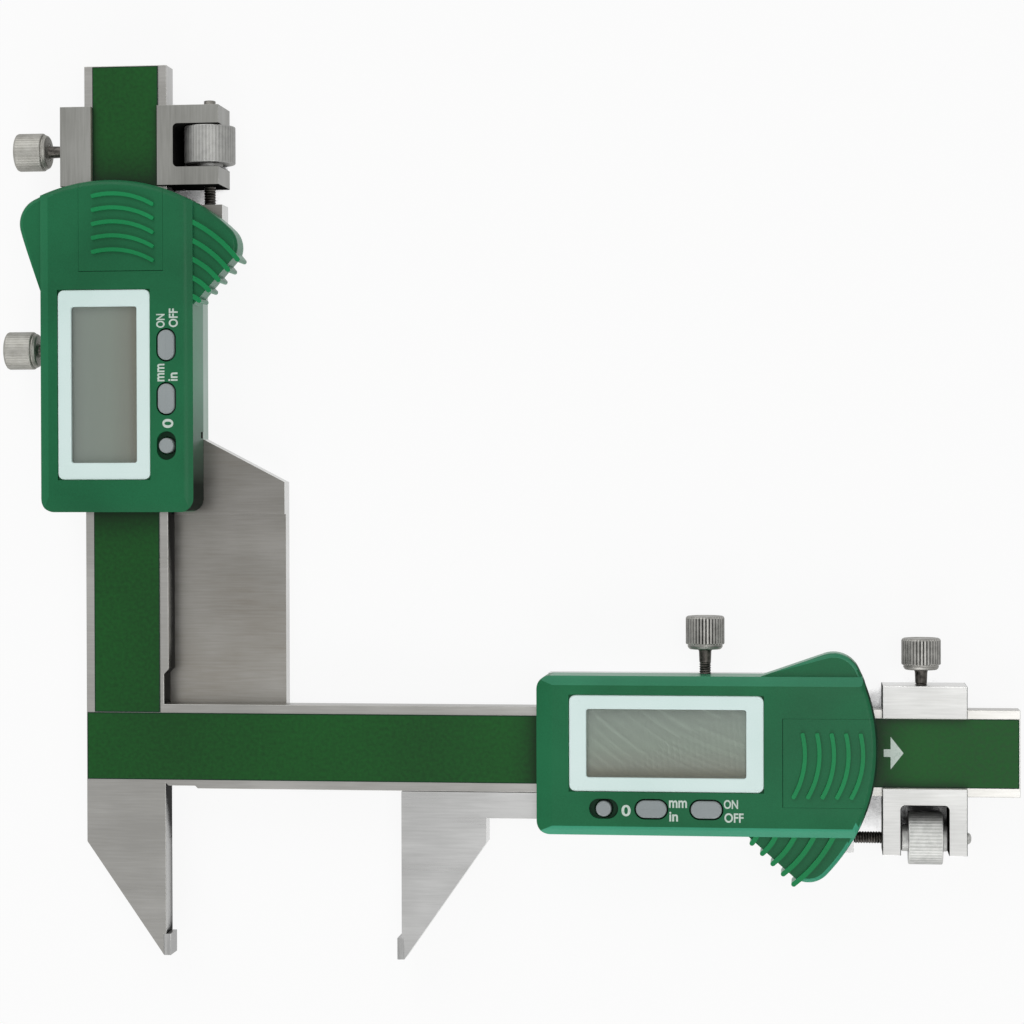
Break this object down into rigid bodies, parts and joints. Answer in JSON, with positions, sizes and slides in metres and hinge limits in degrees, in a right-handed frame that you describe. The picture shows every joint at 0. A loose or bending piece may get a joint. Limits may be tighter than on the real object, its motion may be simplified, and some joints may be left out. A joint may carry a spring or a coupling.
{
  "type": "gear tooth caliper",
  "caption": "L-shaped gear tooth caliper with a jaw slider and a height tongue, each with its own display unit, lock screw and fine-feed clamp.",
  "frame": {"origin": "under the middle of the bounding box, on the plane on which the caliper lies on its back", "axes": "+Z out of the display face, +X along the long arm away from the fixed jaw, +Y along the short arm away from the jaws"},
  "size_m": [0.1912, 0.169, 0.0139],
  "materials": {
    "ground_steel": "ground, satin",
    "carbide": "ground, dull",
    "scale_print": "printed strip, satin",
    "case_plastic": "moulded, fine grain",
    "pale_plastic": "printed, smooth",
    "clear_window": "clear",
    "lcd_glass": "grey-green display",
    "contact_rubber": "matt",
    "board_laminate": "solder mask",
    "cell_metal": "satin",
    "button_plastic": "moulded",
    "dark_steel": "blackened",
    "knob_steel": "knurled"
  },
  "bodies": {
    "beam": {"main_beam": "ground_steel", "fixed_jaw_tip": "carbide", "thickness_scale": "scale_print", "height_scale": "scale_print"},
    "thickness_slide_unit": {"thickness_slider": "ground_steel", "thickness_gib": "ground_steel", "thickness_housing": "case_plastic", "thickness_bezel": "pale_plastic", "thickness_lens": "clear_window", "thickness_lcd": "lcd_glass", "thickness_contact_strips": "contact_rubber", "thickness_board": "board_laminate", "thickness_cell": "cell_metal", "thickness_case_screws": "dark_steel", "thickness_feed_rod": "dark_steel", "moving_jaw_tip": "carbide"},
    "thickness_clamp_unit": {"thickness_clamp": "ground_steel", "thickness_clamp_gib": "ground_steel"},
    "thickness_feed_wheel_body": {"thickness_feed_wheel": "knob_steel"},
    "thickness_lock_screw_body": {"thickness_lock_screw": "knob_steel"},
    "thickness_clamp_screw_body": {"thickness_clamp_screw": "knob_steel"},
    "thickness_zero_button_body": {"thickness_zero_button": "button_plastic"},
    "thickness_unit_button_body": {"thickness_unit_button": "button_plastic"},
    "thickness_power_button_body": {"thickness_power_button": "button_plastic"},
    "thickness_cell_cover_body": {"thickness_cell_cover": "case_plastic"},
    "height_slide_unit": {"height_slider": "ground_steel", "height_gib": "ground_steel", "height_housing": "case_plastic", "height_bezel": "pale_plastic", "height_lens": "clear_window", "height_lcd": "lcd_glass", "height_contact_strips": "contact_rubber", "height_board": "board_laminate", "height_cell": "cell_metal", "height_case_screws": "dark_steel", "height_feed_rod": "dark_steel"},
    "height_clamp_unit": {"height_clamp": "ground_steel", "height_clamp_gib": "ground_steel"},
    "height_feed_wheel_body": {"height_feed_wheel": "knob_steel"},
    "height_lock_screw_body": {"height_lock_screw": "knob_steel"},
    "height_clamp_screw_body": {"height_clamp_screw": "knob_steel"},
    "height_zero_button_body": {"height_zero_button": "button_plastic"},
    "height_unit_button_body": {"height_unit_button": "button_plastic"},
    "height_power_button_body": {"height_power_button": "button_plastic"},
    "height_cell_cover_body": {"height_cell_cover": "case_plastic"}
  },
  "joints": [
    {"name": "thickness_slide", "type": "slide", "parent": "beam", "child": "thickness_slide_unit", "axis": [1, 0, 0], "range_m": [-0.0435, 0.009]},
    {"name": "thickness_feed_wheel_spin", "type": "hinge", "parent": "thickness_clamp_unit", "child": "thickness_feed_wheel_body", "pos_m": [0.07825, -0.0607, 0.005], "axis": [1, 0, 0], "range_deg": [-1585, 937]},
    {"name": "thickness_fine_feed", "type": "slide", "parent": "thickness_slide_unit", "child": "thickness_clamp_unit", "axis": [1, 0, 0], "range_m": [-0.0022, 0.0013]},
    {"name": "thickness_lock_screw_turn", "type": "hinge", "parent": "thickness_slide_unit", "child": "thickness_lock_screw_body", "pos_m": [0.03795, -0.026, 0.0058], "axis": [0, 1, 0], "range_deg": [0, 360]},
    {"name": "thickness_clamp_screw_turn", "type": "hinge", "parent": "thickness_clamp_unit", "child": "thickness_clamp_screw_body", "pos_m": [0.0777, -0.0296, 0.0058], "axis": [0, 1, 0], "range_deg": [0, 360]},
    {"name": "thickness_zero_button_press", "type": "slide", "parent": "thickness_slide_unit", "child": "thickness_zero_button_body", "axis": [0, 0, -1], "range_m": [0, 0.0005], "stiffness_N_per_m": 3000},
    {"name": "thickness_unit_button_press", "type": "slide", "parent": "thickness_slide_unit", "child": "thickness_unit_button_body", "axis": [0, 0, -1], "range_m": [0, 0.0005], "stiffness_N_per_m": 3000},
    {"name": "thickness_power_button_press", "type": "slide", "parent": "thickness_slide_unit", "child": "thickness_power_button_body", "axis": [0, 0, -1], "range_m": [0, 0.0005], "stiffness_N_per_m": 3000},
    {"name": "thickness_cell_cover_slide", "type": "slide", "parent": "thickness_slide_unit", "child": "thickness_cell_cover_body", "axis": [1, 0, 0], "range_m": [0, 0.018]},
    {"name": "height_slide", "type": "slide", "parent": "beam", "child": "height_slide_unit", "axis": [0, 1, 0], "range_m": [-0.0328, 0.007]},
    {"name": "height_feed_wheel_spin", "type": "hinge", "parent": "height_clamp_unit", "child": "height_feed_wheel_body", "pos_m": [-0.05605, 0.06915, 0.005], "axis": [0, 1, 0], "range_deg": [-505, 2017]},
    {"name": "height_fine_feed", "type": "slide", "parent": "height_slide_unit", "child": "height_clamp_unit", "axis": [0, 1, 0], "range_m": [-0.0007, 0.0028]},
    {"name": "height_lock_screw_turn", "type": "hinge", "parent": "height_slide_unit", "child": "height_lock_screw_body", "pos_m": [-0.08925, 0.0307, 0.0058], "axis": [-1, 0, 0], "range_deg": [0, 360]},
    {"name": "height_clamp_screw_turn", "type": "hinge", "parent": "height_clamp_unit", "child": "height_clamp_screw_body", "pos_m": [-0.08715, 0.06865, 0.0058], "axis": [-1, 0, 0], "range_deg": [0, 360]},
    {"name": "height_zero_button_press", "type": "slide", "parent": "height_slide_unit", "child": "height_zero_button_body", "axis": [0, 0, -1], "range_m": [0, 0.0005], "stiffness_N_per_m": 3000},
    {"name": "height_unit_button_press", "type": "slide", "parent": "height_slide_unit", "child": "height_unit_button_body", "axis": [0, 0, -1], "range_m": [0, 0.0005], "stiffness_N_per_m": 3000},
    {"name": "height_power_button_press", "type": "slide", "parent": "height_slide_unit", "child": "height_power_button_body", "axis": [0, 0, -1], "range_m": [0, 0.0005], "stiffness_N_per_m": 3000},
    {"name": "height_cell_cover_slide", "type": "slide", "parent": "height_slide_unit", "child": "height_cell_cover_body", "axis": [0, 1, 0], "range_m": [0, 0.018]}
  ],
  "couplings": [
    {"joint": "thickness_feed_wheel_spin", "follows": "thickness_fine_feed", "rad_per_m": 12566},
    {"joint": "height_feed_wheel_spin", "follows": "height_fine_feed", "rad_per_m": 12566}
  ]
}
